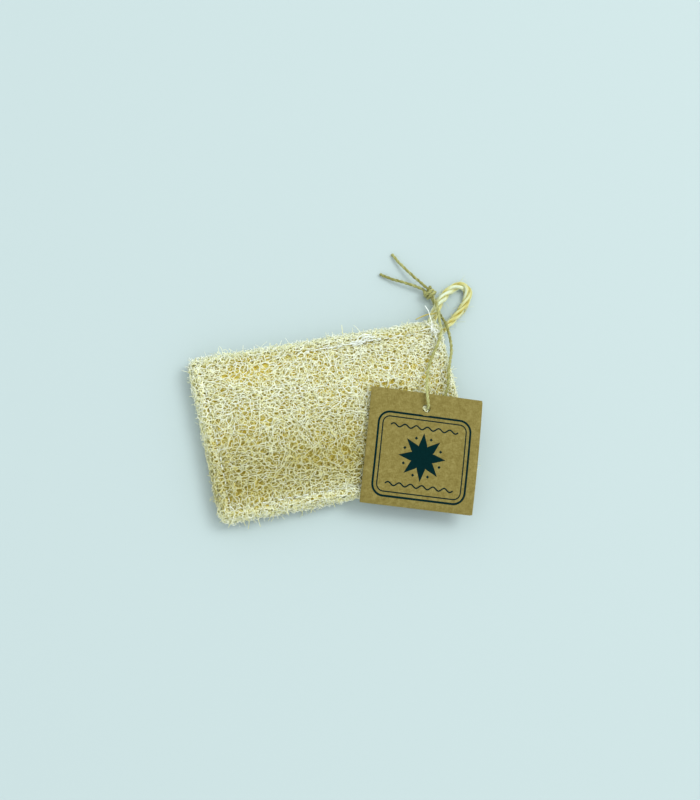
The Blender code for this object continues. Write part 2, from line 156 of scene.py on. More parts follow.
def loose_hairs(path, radius, count, reach, draw, curl=0.5):
    """Lines of fibres that have worked loose from a cord, each curling away from it."""
    along, side, top = path_frames(path)
    at = draw.integers(2, len(path) - 2, count)
    angle = draw.uniform(0, math.tau, count)[:, None]
    out = side[at] * np.cos(angle) + top[at] * np.sin(angle)
    out[:, 2] = np.abs(out[:, 2])
    run = along[at] * draw.choice([-1, 1], count)[:, None]
    bend = draw.normal(0, curl, (count, 3))
    length = reach * draw.uniform(0.4, 1.0, count)
    t = np.linspace(0, 1, 6)[None, :, None]
    line = out[:, None] * t**1.4 * 0.55 + run[:, None] * t * 0.8 + bend[:, None] * t**2 * 0.5
    lines = path[at][:, None] + out[:, None] * (0.85 * radius) + line * length[:, None, None]
    lines[..., 2] = np.maximum(lines[..., 2], 0.15 * MM)
    return lines


class Skein:
    """Gathers many closed tubes, to be made into one mesh with a tint at each point."""

    def __init__(self):
        self.points, self.quads, self.tris, self.tints, self.count = [], [], [], [], 0

    def tubes(self, rings, tint=0.5):
        """Adds tubes from an array of tubes x rings x sides x 3. Each end is drawn to a point."""
        tint = np.asarray(tint, float)
        if rings.ndim == 3:
            rings, tint = rings[None], tint[None]
        tubes, length, sides, _ = rings.shape
        shade = np.broadcast_to(tint[..., None] if tint.ndim == 2 else tint, (tubes, length, sides))
        self.points.append(rings.reshape(-1, 3))
        self.tints.append(shade.reshape(-1))
        index = self.count + np.arange(tubes * length * sides).reshape(tubes, length, sides)
        low, high = index[:, :-1], index[:, 1:]
        quads = np.stack([low, np.roll(low, -1, 2), np.roll(high, -1, 2), high], axis=-1)
        self.quads.append(quads.reshape(-1, 4))
        self.count += tubes * length * sides
        for ring, inner in ((0, 1), (length - 1, length - 2)):
            middle = rings[:, ring].mean(1)
            out = middle - rings[:, inner].mean(1)
            out /= np.maximum(np.linalg.norm(out, axis=1), 1e-9)[:, None]
            reach = np.linalg.norm(rings[:, ring] - middle[:, None], axis=2).mean(1)
            self.points.append(middle + out * (0.6 * reach)[:, None])
            self.tints.append(shade[:, ring].mean(1))
            tip = (self.count + np.arange(tubes))[:, None]
            self.count += tubes
            edge = index[:, ring]
            beside = np.roll(edge, -1, 1)
            first, second = (beside, edge) if ring == 0 else (edge, beside)
            fan = np.stack([first, second, np.broadcast_to(tip, edge.shape)], -1)
            self.tris.append(fan.reshape(-1, 3))

    def piece(self, name, finish, smooth=True):
        points, quads, tris = np.vstack(self.points), np.vstack(self.quads), np.vstack(self.tris)
        return woven(name, points, [quads, tris], np.concatenate(self.tints), finish, smooth)


def woven(name, points, face_sets, tints, finish, smooth=True):
    """One mesh object from arrays of points and faces, with a tint at each point."""
    mesh = bpy.data.meshes.new(name)
    mesh.vertices.add(len(points))
    mesh.vertices.foreach_set("co", points.astype(np.float32).ravel())
    corners = np.concatenate([faces.ravel() for faces in face_sets]).astype(np.int32)
    sizes = np.concatenate([np.full(len(faces), faces.shape[1]) for faces in face_sets])
    mesh.loops.add(len(corners))
    mesh.loops.foreach_set("vertex_index", corners)
    mesh.polygons.add(len(sizes))
    starts = np.concatenate([[0], np.cumsum(sizes)[:-1]])
    mesh.polygons.foreach_set("loop_start", starts.astype(np.int32))
    mesh.polygons.foreach_set("use_smooth", np.full(len(sizes), smooth))
    mesh.update(calc_edges=True)
    mesh.validate()
    tint = mesh.attributes.new("tint", "FLOAT", "POINT")
    tint.data.foreach_set("value", tints.astype(np.float32))
    mesh.materials.append(finish)
    made = bpy.data.objects.new(name, mesh)
    bpy.context.collection.objects.link(made)
    return made


def new_finish(name, roughness, gloss):
    """A material whose shader has that roughness and gloss."""
    made = bpy.data.materials.new(name)
    made.use_nodes = True
    shader = made.node_tree.nodes["Principled BSDF"]
    shader.inputs["Roughness"].default_value = roughness
    shader.inputs["Specular IOR Level"].default_value = gloss
    return made


def add_node(finish, kind, inputs, **settings):
    """Adds a node to a finish. Its inputs are plain values, or outputs that are joined to them."""
    node = finish.node_tree.nodes.new(kind)
    for name, value in settings.items():
        setattr(node, name, value)
    for socket, value in inputs.items():
        if isinstance(value, bpy.types.NodeSocket):
            finish.node_tree.links.new(value, node.inputs[socket])
        else:
            node.inputs[socket].default_value = value
    return node


def coloured(finish, picks, stops, height, bump, depth):
    """Colours a finish by what picks from its stops, and gives it the relief of a height."""
    ramp = add_node(finish, "ShaderNodeValToRGB", {"Fac": picks})
    spots = ramp.color_ramp.elements
    while len(spots) < len(stops):
        spots.new(0.5)
    for spot, (at, colour) in zip(spots, stops):
        spot.position = at
        spot.color = (*colour, 1)
    relief = add_node(finish, "ShaderNodeBump", {"Strength": bump, "Distance": depth, "Height": height})
    shader = finish.node_tree.nodes["Principled BSDF"]
    finish.node_tree.links.new(ramp.outputs["Color"], shader.inputs["Base Color"])
    finish.node_tree.links.new(relief.outputs["Normal"], shader.inputs["Normal"])


def fibre_finish(name, stops, roughness, scale, grain, sheen, bump):
    """A fibrous finish. The mesh's tint picks the colour from the stops, and fine streaks vary it."""
    made = new_finish(name, roughness, 0.3)
    made.node_tree.nodes["Principled BSDF"].inputs["Sheen Weight"].default_value = sheen
    tint = add_node(made, "ShaderNodeAttribute", {}, attribute_name="tint").outputs["Fac"]
    place = add_node(made, "ShaderNodeTexCoord", {}).outputs["Object"]
    noise_inputs = {"Vector": place, "Scale": scale, "Detail": 4}
    streaks = add_node(made, "ShaderNodeTexNoise", noise_inputs).outputs["Fac"]
    mixed = add_node(made, "ShaderNodeMath", {0: streaks, 1: grain, 2: tint}, operation="MULTIPLY_ADD")
    picks = add_node(made, "ShaderNodeMath", {0: mixed.outputs[0], 1: 1 + grain}, operation="DIVIDE")
    stops = [((at + grain / 2) / (1 + grain), colour) for at, colour in stops]
    coloured(made, picks.outputs[0], stops, streaks, bump, 0.05 * MM)
    return made


def smoothstep(x):
    x = np.clip(x, 0, 1)
    return x * x * (3 - 2 * x)


loop_path = smooth_path(LOOP_ROUTE, 0.4 * MM)
loop_walk = walk_of(loop_path)
loop_length = float(loop_walk[-1])
loop_skein = Skein()
slim = 1 - FAR_SLIM * smoothstep(4 * loop_walk / loop_length - 2)
darker = 0.04 * smoothstep(3 * loop_walk / loop_length - 1)
for k in range(LOOP_STRANDS):
    strand = laid_strand(loop_path, LOOP_LAY, k / LOOP_STRANDS, STRAND_OUT * slim[:, None])
    slack = 1 + 0.09 * np.sin(loop_walk / (2.7 * MM) + 2 * k) + 0.05 * np.sin(loop_walk / (1.2 * MM) + k)
    radius = STRAND_RADIUS * slack * slim
    rings, phase = ridged_tube(strand, radius, STRAND_SIDES, YARN_RIDGES, YARN_DEPTH, YARN_TURN)
    golden = SISAL_TINT + DRIFT_TINT * np.sin(loop_walk / (5.3 * MM) + 2.1 * k) - darker
    # Painted shade: darker in the grooves between yarns and where a strand lies near the cord's middle. The
    # drift and yarn streaks are the sisal's own colour.
    streaks = GROOVE_SHADE_TINT * np.cos(YARN_RIDGES * phase) + YARN_TINT * np.sin(2 * phase + 3 * k)
    reach = np.linalg.norm(rings - loop_path[:, None], axis=2) / (0.5 * LOOP_THICK)
    rings[..., 2] = np.maximum(rings[..., 2], FLOOR_GAP)
    loop_skein.tubes(rings, golden[:, None] + streaks + (reach - STRAND_SHADE_REACH))
loose_skein = Skein()
loop_draw = np.random.default_rng(5)
hair_lines = loose_hairs(loop_path, 0.48 * LOOP_THICK, LOOP_HAIRS, LOOP_HAIR_REACH, loop_draw)
loose_skein.tubes(fine_tubes(hair_lines, LOOP_HAIR_GIRTH, 4), 0.8)
golden_line = smooth_path(GOLDEN_FIBRE, 0.5 * MM)
golden_girth = np.linspace(*GOLDEN_GIRTHS, len(golden_line))
loose_skein.tubes(fine_tubes(golden_line[None], golden_girth, 5), GOLDEN_TINT)
for start, end, angle, bulge, tint in LOOP_LOCKS:
    run = loop_path[int(start * len(loop_path)):int(end * len(loop_path))]
    _, side, top = path_frames(run)
    t = np.linspace(0, 1, len(run))[:, None]
    spin = angle + LOCK_SPIN * t
    off = LOOP_THICK * (0.42 + bulge * np.sin(math.pi * t))
    lock = run + off * (side * np.cos(spin) + top * np.abs(np.sin(spin)))
    lock[:, 2] = np.maximum(lock[:, 2], FLOOR_GAP + LOCK_GIRTH / 2)
    loose_skein.tubes(fine_tubes(lock[None], LOCK_GIRTH, 6), tint)
sisal_finish = fibre_finish("laid_sisal", SISAL, 0.5, 1100, 0.25, 0.15, 0.5)
loop = loop_skein.piece("loop_cord", sisal_finish)
for piece in (loop, loose_skein.piece("loop_loose_fibres", sisal_finish)):
    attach(piece, "root")
    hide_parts("hanging_loop")

# The tag's twine is thin two-ply jute. It is doubled through the tag's hole and round the loop, and
# its two runs are tied together in one overhand knot with short tails.
TWINE_THICK = 1.4 * MM
TWINE_ROUTE = (
    (45.3, 71.7, 0.9), (47.1, 67.6, 1.6), (48.9, 64.2, 2.3), (52.2, 58.9, 3.1), (55.4, 54.3, 3.7),
    (57.2, 51.6, 4.1), (58.2, 48.9, 4.6), (58.0, 46.0, 5.7), (58.0, 43.6, 7.3), (57.4, 40.1, 8.7),
    (56.9, 35.2, 9.3), (56.4, 31.3, 9.9), (55.0, 27.6, 10.6), (52.4, 23.5, 11.0), (49.8, 20.1, 11.1),
    (47.1, 16.4, 11.9), (44.8, 12.6, 13.2), (42.6, 7.8, 15.1), (40.6, 2.4, 17.2), (40.0, -0.4, 17.8),
    (39.7, -2.7, 17.8), (39.6, -4.3, 17.0), (39.6, -4.9, 15.8), (39.7, -4.5, 14.5), (40.6, -3.5, 13.8),
    (42.6, -2.9, 13.4), (45.6, -2.2, 13.1), (49.0, -0.5, 12.6), (51.5, 2.6, 12.0), (53.4, 7.1, 11.5),
    (54.9, 11.7, 10.9), (57.0, 16.2, 10.2), (59.0, 21.0, 9.2), (60.0, 26.0, 8.2), (60.2, 29.4, 7.7),
    (60.3, 32.2, 7.1), (60.6, 34.9, 5.4), (60.9, 37.5, 2.6), (60.7, 39.9, 1.2), (60.1, 42.4, 0.9),
    (59.3, 45.0, 1.1), (58.4, 47.8, 2.0), (56.6, 50.8, 2.3), (54.8, 52.8, 2.3), (51.2, 55.0, 2.5),
    (46.2, 57.7, 2.2), (41.5, 60.3, 1.5), (37.5, 63.2, 0.9),
)
TWINE_LAY = 4.2 * MM
PLY_OUT, PLY_RADIUS, PLY_RIDGES, PLY_TURN = 0.19, 0.31, 3, 1500
TWINE_HAIRS, TWINE_HAIR_REACH, TWINE_HAIR_GIRTH = 240, 1.6 * MM, 0.08 * MM
# The twine is painted paler over one stretch of its run, as painted light.
TWINE_PALE, TWINE_PALE_REACH, TWINE_PAINTED_LIGHT = 62 * MM, 26 * MM, 0.12  # where it is palest, and by how much
KNOT_CENTRE = np.array((57.4, 50.2, 3.2)) * MM
KNOT_AXIS = np.array((-0.566, 0.824, 0.0))
KNOT_ACROSS = np.array((0.824, 0.566, 0.0))
KNOT_UP = np.array((0.0, 0.0, 1.2))
KNOT_REACH = 2.05 * MM
# How far along the knot each turn starts and ends, in millimetres, and its start and end angles.
KNOT_TURNS = ((-1.7, -0.9, -0.5, 5.6), (-0.2, 1.5, 0.6, 6.9), (1.7, -1.3, 2.6, 4.9))
JUTE = ((0.0, (0.11, 0.10, 0.018)), (0.45, (0.29, 0.28, 0.075)), (1.0, (0.60, 0.62, 0.30)))


def two_ply(skein, path, draw, thick, tint):
    """Twine of two plies laid round each other, each spun from coarse fibre."""
    walked = walk_of(path)
    for k in range(2):
        ply = laid_strand(path, TWINE_LAY, k / 2, PLY_OUT * thick)
        lumps = 1 + 0.1 * np.sin(walked / (2.9 * MM) + 3 * k) + draw.normal(0, 0.03, len(path))
        rings, phase = ridged_tube(ply, PLY_RADIUS * thick * lumps, 10, PLY_RIDGES, 0.08, PLY_TURN)
        shade = tint + 0.15 * np.sin(walked / (6.1 * MM) + 1.7 * k)
        # Painted shade: each ply is paler on its ridges and darker in its grooves.
        skein.tubes(rings, shade[:, None] + 0.12 * np.cos(PLY_RIDGES * phase))


twine_path = smooth_path(TWINE_ROUTE, 0.45 * MM)
twine_draw = np.random.default_rng(6)
jute_finish = fibre_finish("jute", JUTE, 0.75, 1500, 0.3, 0.15, 0.6)
twine_skein = Skein()
# Painted light: the twine is paler round the middle of that stretch.
twine_painted_light = TWINE_PAINTED_LIGHT * np.exp(-(((walk_of(twine_path) - TWINE_PALE) / TWINE_PALE_REACH) ** 4))
two_ply(twine_skein, twine_path, twine_draw, TWINE_THICK, 0.5 + twine_painted_light)
hair_lines = loose_hairs(twine_path, 0.45 * TWINE_THICK, TWINE_HAIRS, TWINE_HAIR_REACH, twine_draw, 0.8)
hair_skein = Skein()
hair_skein.tubes(fine_tubes(hair_lines, TWINE_HAIR_GIRTH, 3), 0.8)
hairs = hair_skein.piece("tag_twine_hairs", jute_finish)
twine = twine_skein.piece("tag_twine", jute_finish)
knot_skein = Skein()
for start, end, from_angle, to_angle in KNOT_TURNS:
    t = np.linspace(0, 1, 44)[:, None]
    angle = from_angle + (to_angle - from_angle) * t
    swing = KNOT_ACROSS * np.cos(angle) + KNOT_UP * np.sin(angle)
    shift = KNOT_AXIS * (start + (end - start) * t) * MM
    two_ply(knot_skein, KNOT_CENTRE + shift + swing * KNOT_REACH, twine_draw, 1.1 * TWINE_THICK, 0.5)
knot = knot_skein.piece("tag_twine_knot", jute_finish)
for piece in (twine, knot, hairs):
    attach(piece, "root")
    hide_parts("tag_string")

# The pad is a piece of dried luffa gourd, opened out, pressed flat and cut square. The plant grew it
# as one net of fibres in many layers; painted shade makes it pale on its faces and golden deep in its
# pores. Its cut edge is rolled into a hem all round, and short cut ends stand out of it.
PAD_HALF_X, PAD_HALF_Y = 57.5 * MM, 36 * MM
PAD_CORNER = 5 * MM
CORE_X, CORE_Y = PAD_HALF_X - PAD_CORNER, PAD_HALF_Y - PAD_CORNER
HEM_RADIUS = 4.4 * MM
HEM_LIFT, BELLY_REACH = 0.8 * MM, 6 * MM
CROWN_RISE = 3.9 * MM
CROWN_START, CROWN_REACH = 6 * MM, 20 * MM
SEAM_INSET, SEAM_DEPTH, SEAM_WIDTH = 5 * MM, 1.2 * MM, 1.6 * MM
CREASE_Y, CREASE_WIDTH, CREASE_DEPTH = -12 * MM, 5 * MM, 0.8 * MM
MID_Z = HEM_LIFT + HEM_RADIUS
ROLL = HEM_RADIUS * math.pi / 2
ROLL_SPARE = ROLL - HEM_RADIUS  # what the hem's roll takes up beyond the pad's outline
PRESSED_Y, PRESSED_EVERY, PRESSED = 3 * MM, 34 * MM, 0.22  # where the pores lie pressed into slits
SKIN_TINT = 0.92
# Painted shade: a fibre's tint falls the deeper it lies, and it is lower on the fibre's underside.
DEPTH_SHADE_FADE, UNDERSIDE_SHADE = 0.25, 0.11  # how the tint falls with each millimetre down, and round a fibre
CURL_RINGS = 6


def past_core(flat):
    """How far points lie past the pad's straight core in x, in y and in all, and which are off a corner."""
    qx, qy = np.abs(flat[..., 0]) - CORE_X, np.abs(flat[..., 1]) - CORE_Y
    corner = (qx > 0) & (qy > 0)
    return qx, qy, np.where(corner, np.hypot(qx, qy), np.maximum(qx, qy)), corner


def on_pad(flat, side, sunk):
    """Places on the pad for points of its unrolled face, sunk below its skin."""
    x, y = flat[..., 0], flat[..., 1]
    qx, qy, reach, corner = past_core(flat)
    safe = np.maximum(reach, 1e-9)
    out_x = np.where(corner, qx / safe, np.where(qx > qy, 1.0, 0.0)) * np.sign(x)
    out_y = np.where(corner, qy / safe, np.where(qx > qy, 0.0, 1.0)) * np.sign(y)
    depth = PAD_CORNER + ROLL_SPARE - reach
    turn = np.clip(depth / HEM_RADIUS, -math.pi / 2, math.pi / 2)
    inset = np.where(depth < ROLL, HEM_RADIUS * (1 - np.cos(turn)), depth - ROLL_SPARE)
    rise = smoothstep((inset - CROWN_START) / CROWN_REACH)
    groove = SEAM_DEPTH * np.exp(-(((inset - SEAM_INSET) / SEAM_WIDTH) ** 2))
    if side > 0:
        crease = CREASE_DEPTH * rise * np.exp(-(((y - CREASE_Y) / CREASE_WIDTH) ** 2))
        swell = CROWN_RISE * rise - crease - groove
    else:
        swell = groove - HEM_LIFT * smoothstep((inset - CROWN_START) / BELLY_REACH)
    rolled = depth < ROLL
    pull = np.where(rolled, ROLL_SPARE - depth + inset + np.cos(turn) * sunk, 0.0)
    lift = side * np.sin(turn) * (HEM_RADIUS - sunk)
    return np.stack([x - out_x * pull, y - out_y * pull, MID_Z + lift + swell], axis=-1)


def laid_fibres(line, side, level, girth, shift=0.0, sides=3):
    """Tubes of fibre laid along lines over the pad, with painted shade: more golden the deeper and on their
    undersides.
    """
    centre = on_pad(line, side, level)
    out = (on_pad(line, side, level - 0.1 * MM) - centre) / (0.1 * MM)
    rings = fine_tubes(centre, girth, sides)
    rings[..., 2] = np.maximum(rings[..., 2], FLOOR_GAP)
    height = ((rings - centre[:, :, None]) * out[:, :, None]).sum(-1) / (girth / 2)[..., None]
    tint = SKIN_TINT - DEPTH_SHADE_FADE * level / MM + shift
    return rings, tint[..., None] + UNDERSIDE_SHADE * height


def scattered(rng, half_x, half_y, near):
    """Points spread at random over a face, none nearer to another than a distance that varies."""
    cell = near * 0.7
    columns, rows = int(2 * half_x / cell) + 1, int(2 * half_y / cell) + 1
    taken = {}
    for _ in range(5 * columns * rows):
        x, y = rng.uniform(-half_x, half_x), rng.uniform(-half_y, half_y)
        apart = near * (1 + 0.3 * math.sin(310 * x + 2) * math.sin(270 * y + 260 * x))
        i, j = int((x + half_x) / cell), int((y + half_y) / cell)
        beside = (taken.get((i + a, j + b)) for a in range(-2, 3) for b in range(-2, 3))
        if all(other is None or math.hypot(other[0] - x, other[1] - y) >= apart for other in beside):
            taken[(i, j)] = (x, y)
    return list(taken.values())


def web_of(rng, near, stretch):
    """The strands of one layer: where they meet, and the pairs of meeting points that they join."""
    half_x = (PAD_HALF_X + ROLL_SPARE + 4 * MM) / stretch
    half_y = PAD_HALF_Y + ROLL_SPARE + 8 * MM
    flat = [Vector(point) for point in scattered(rng, half_x, half_y, near)]
    spots, _, faces, _, _, _ = geometry.delaunay_2d_cdt(flat, [], [], 0, 1e-7, False)
    spots = np.array([tuple(spot) for spot in spots]) * (stretch, 1)
    meets = spots[np.array([list(face) for face in faces])].mean(1)
    swing = math.tau / PRESSED_EVERY
    meets[:, 1] -= PRESSED / swing * np.sin(swing * (meets[:, 1] - PRESSED_Y) + 60 * meets[:, 0])
    sharing = {}
    for number, face in enumerate(faces):
        for k in range(3):
            edge = (min(face[k], face[k - 1]), max(face[k], face[k - 1]))
            sharing.setdefault(edge, []).append(number)
    return meets, np.array([pair for pair in sharing.values() if len(pair) == 2])


def round_rim(share, core_x, core_y, out, corner):
    """Points at that share of the way round an outline: a core's half sides, set out with round corners."""
    straight_x, straight_y, arc = 2 * core_x, 2 * core_y, corner * math.pi / 2
    marks = np.cumsum([0, straight_x, arc, straight_y, arc, straight_x, arc, straight_y, arc])
    at = np.mod(share, 1) * marks[-1]
    leg = np.clip(np.searchsorted(marks, at, side="right") - 1, 0, 7)
    t = (at - marks[leg]) / np.diff(marks)[leg]
    quarter = leg // 2
    turn = (quarter - 1 + np.where(leg % 2, t, 0.0)) * math.pi / 2
    back = np.where(leg % 2, 0.0, 1 - t) * np.where(quarter % 2, straight_y, straight_x)
    x = core_x * np.array((1, 1, -1, -1))[quarter] + np.cos(turn) * out + np.sin(turn) * back
    y = core_y * np.array((-1, 1, 1, -1))[quarter] + np.sin(turn) * out - np.cos(turn) * back
    return np.stack([x, y], axis=-1)


def rim_point(share, inward):
    """Points of the unrolled face at that share of the way round it, that far in from the rim."""
    return round_rim(share, CORE_X, CORE_Y, PAD_CORNER + ROLL_SPARE - inward, PAD_CORNER)


def facing(angle):
    """Steps of one unit across a face at those angles."""
    return np.stack([np.cos(angle), np.sin(angle)], axis=-1)


def netting(seed, side, near, stretch, shallow, deep, thick, rings, keep):
    """One layer of the net, from sizes in millimetres."""
    near, shallow, deep, thick = near * MM, shallow * MM, deep * MM, thick * MM
    draw = np.random.default_rng(seed)
    meets, pairs = web_of(random.Random(seed), near, stretch)
    meets = meets + draw.normal(0, 0.1 * near, meets.shape)
    sunk = shallow + (deep - shallow) * draw.random(len(meets)) ** 1.3
    over = past_core(meets)[2] - PAD_CORNER - ROLL_SPARE
    a, b = pairs[:, 0], pairs[:, 1]
    span = np.linalg.norm(meets[a] - meets[b], axis=1)
    kept = (over[a] < 2 * MM) & (over[b] < 2 * MM) & (span < 3.2 * near) & (draw.random(len(pairs)) < keep)
    a, b = a[kept], b[kept]
    flow = draw.normal(0, 1, meets.shape)
    flow /= np.linalg.norm(flow, axis=1)[:, None]
    run = meets[b] - meets[a]
    length = np.linalg.norm(run, axis=1)[:, None]
    unit = run / np.maximum(length, 1e-9)

    def heading(node):
        swerve = flow[node] * np.sign((flow[node] * unit).sum(1))[:, None]
        mixed = 0.5 * unit + 0.7 * swerve
        return (mixed / np.linalg.norm(mixed, axis=1)[:, None])[:, None] * (1.2 * length)[:, None]

    t = np.linspace(0, 1, rings)[None, :, None]
    line = (2 * t**3 - 3 * t**2 + 1) * meets[a][:, None] + (t**3 - 2 * t**2 + t) * heading(a)
    line = line + (3 * t**2 - 2 * t**3) * meets[b][:, None] + (t**3 - t**2) * heading(b)
    t = t[..., 0]
    sag = draw.normal(0, 0.22 * MM, len(a))[:, None]
    level = sunk[a][:, None] * (1 - t) + sunk[b][:, None] * t + sag * 4 * t * (1 - t)
    girth = thick * draw.uniform(0.62, 1.25, len(a))[:, None] * (0.8 + 0.6 * (2 * t - 1) ** 2)
    level = np.maximum(level, 0.02 * MM + girth / 2)
    return laid_fibres(line, side, level, girth, draw.normal(0, 0.07, len(a))[:, None])


def wandering(seed, side, count, rings):
    """Long bright fibres that wander over the face, mostly along the pad."""
    draw = np.random.default_rng(seed)
    start = draw.uniform(-1, 1, (count, 2)) * (PAD_HALF_X, PAD_HALF_Y)
    heading = draw.normal(0, 0.9, count)[:, None] + np.cumsum(draw.normal(0, 0.26, (count, rings)), axis=1)
    step = draw.uniform(0.55, 1.25, count)[:, None] * MM
    run = facing(heading) * step[..., None]
    line = start[:, None] + np.cumsum(run, axis=1)
    edge = np.array((PAD_HALF_X + 1 * MM, PAD_HALF_Y + 1 * MM))
    line = np.clip(line, -edge, edge)
    t = np.linspace(0, 1, rings)[None]
    phase = draw.uniform(0, math.tau, count)[:, None]
    girth = draw.uniform(0.34, 0.52, count)[:, None] * MM * (1 - 0.4 * (2 * t - 1) ** 2)
    level = 0.4 * MM + 0.3 * MM * np.sin(5 * t + phase) + 1.2 * MM * (2 * t - 1) ** 6
    return laid_fibres(line, side, np.maximum(level, girth / 2), girth)


def stars(seed, side, count):
    """Places where fibres meet and spread out in all directions, thick in the middle."""
    draw = np.random.default_rng(seed)
    arms = 5
    centre = np.repeat(draw.uniform(-0.97, 0.97, (count, 2)) * (PAD_HALF_X, PAD_HALF_Y), arms, axis=0)
    turn = np.arange(count * arms) * math.tau / arms + draw.normal(0, 0.3, count * arms)
    reach = draw.uniform(2.2, 5.2, count * arms) * MM
    t = np.linspace(0.04, 1, 5)[None]
    bend = turn[:, None] + draw.normal(0, 0.5, count * arms)[:, None] * t
    line = centre[:, None] + facing(bend) * (reach[:, None] * t)[..., None]
    girth = draw.uniform(0.3, 0.42, count * arms)[:, None] * MM * (1.25 - 0.55 * t)
    level = 0.35 * MM + draw.uniform(0.5, 1.5, count * arms)[:, None] * MM * t**1.5
    return laid_fibres(line, side, np.maximum(level, girth / 2), girth, sides=4)


def clear_of_tag(flat):
    """Which points of the face have no tag close above them."""
    return (flat[:, 1] > 0) | (flat[:, 0] < TAG_LEFT)


def cut_ends(seed, count):
    """Short cut ends of fibre that stand out of the hem all round, a little more of them at its corners."""
    draw = np.random.default_rng(seed)
    arc = PAD_CORNER * math.pi / 2
    side_x, side_y = 2 * CORE_X, 2 * CORE_Y
    legs = np.cumsum([side_x, side_y + arc, side_x + arc, side_y + arc])
    corners = (legs + arc / 2) / (2 * (side_x + side_y) + 4 * arc)
    around = np.where(draw.random(count) < 0.93, draw.uniform(0, 1, count), draw.choice(corners, count))
    flat = rim_point(around + draw.normal(0, 0.004, count), draw.normal(1.2, 3.2, count) * MM)
    face = np.where(draw.random(count) < 0.62, 1, -1)
    lines = np.empty((count, CUT_RINGS, 3))
    beyond_x, beyond_y = (np.abs(flat) > (CORE_X, CORE_Y)).T
    longer = np.where(beyond_x & beyond_y, CORNER_LONGER, 1.0)
    longer[beyond_y & ~beyond_x & clear_of_tag(flat)] = SIDE_LONGER
    reach = np.minimum(draw.gamma(2.6, 0.22, count), 1.1) * MM * longer
    for side in (1, -1):
        here = face == side
        foot = on_pad(flat[here], side, CUT_ROOT)
        out = (on_pad(flat[here], side, 0.0) - foot) / CUT_ROOT
        lean = out * 0.8 + draw.normal(0, 0.6, out.shape)
        curl = draw.normal(0, 0.9, out.shape)
        t = np.linspace(0, 1, CUT_RINGS)[None, :, None]
        lines[here] = foot[:, None] + (lean[:, None] * t + curl[:, None] * t**2) * reach[here][:, None, None]
    lines[..., 2] = np.maximum(lines[..., 2], 0.2 * MM)
    girth = draw.uniform(0.2, 0.42, count)[:, None] * MM * np.linspace(1.1, 0.6, CUT_RINGS)[None]
    return fine_tubes(lines, girth, 3), draw.uniform(0.6, 1.0, count)[:, None]


def curls(draw, side, start, proud):
    """Short curly fibres matted over the pad, standing off its skin by that much in their middles."""
    count = len(start)
    swirl = draw.normal(0, 0.5, count)[:, None] * np.arange(CURL_RINGS)
    swirl = swirl + np.cumsum(draw.normal(0, 0.3, (count, CURL_RINGS)), axis=1)
    heading = draw.uniform(0, math.tau, count)[:, None] + swirl
    step = draw.uniform(0.4, 0.75, count)[:, None] * MM
    run = facing(heading) * step[..., None]
    t = np.linspace(0, 1, CURL_RINGS)[None]
    arch = np.sin(math.pi * t * draw.uniform(0.6, 1, count)[:, None])
    level = 0.5 * MM - (0.45 * MM + proud[:, None]) * arch
    girth = draw.uniform(0.26, 0.4, count)[:, None] * MM * (1.1 - 0.4 * t)
    shift = draw.uniform(-0.32, 0.0, count)[:, None]
    return laid_fibres(start[:, None] + np.cumsum(run, axis=1), side, level, girth, shift)


def hem_curls(seed, side, count, low, high):
    """Curly fibres over the hem all round, from one distance in from the rim to another."""
    draw = np.random.default_rng(seed)
    start = rim_point(draw.random(count), draw.uniform(low, high, count))
    long_side = np.where((np.abs(start[:, 1]) > PAD_HALF_Y) & clear_of_tag(start), 0.5, 0.0)
    return curls(draw, side, start, (np.minimum(draw.gamma(2, 0.2, count), 1.1) + long_side) * MM)


def face_curls(seed, side, count):
    """Curly fibres matted into the face of the pad, hardly proud of it."""
    draw = np.random.default_rng(seed)
    start = draw.uniform(-1, 1, (count, 2)) * (PAD_HALF_X - HEM_RADIUS, PAD_HALF_Y - HEM_RADIUS)
    return curls(draw, side, start, np.full(count, -0.2 * MM))


def caught_tuft(seed, count):
    """A tuft of the face's fibres that has risen into the tag's hole and fills it."""
    draw = np.random.default_rng(seed)
    t = np.linspace(0, 1, 9)[None]
    angle = draw.uniform(0, math.tau, count)[:, None] + draw.normal(0, 1.6, count)[:, None] * t
    reach = draw.uniform(0.1, 1.5, count)[:, None] * MM
    line = np.array(TAG_HOLE) + facing(angle) * reach[..., None]
    level = 0.5 * MM - draw.uniform(*TUFT_HEIGHTS, count)[:, None] * MM * np.sin(math.pi * t) ** 0.5
    girth = draw.uniform(0.34, 0.5, count)[:, None] * MM
    return laid_fibres(line, 1, level, girth, draw.uniform(*TUFT_TINTS, count)[:, None], sides=4)


def strays():
    """The longer fibres, which curl out of the hem to their tips."""
    t = np.linspace(0, 1, 16)[None, :, None]
    tips = np.array(STRAY_TIPS) * MM
    edge = np.array((PAD_HALF_X - 1 * MM, PAD_HALF_Y - 1 * MM, MID_Z + 2 * MM))
    foot = np.clip(tips, -edge, edge)
    number = np.arange(len(tips))[:, None, None]
    spin = (7 + 3 * np.sin(2 * number)) * t + 1.7 * number
    coil = np.concatenate([np.cos(spin), np.sin(spin), 0.5 * np.cos(0.7 * spin)], axis=2) * 1.1 * MM * t
    lines = foot[:, None] + (tips - foot)[:, None] * t + coil
    return fine_tubes(lines, 0.3 * MM * (1.1 - 0.5 * t[..., 0]), 4), 0.8


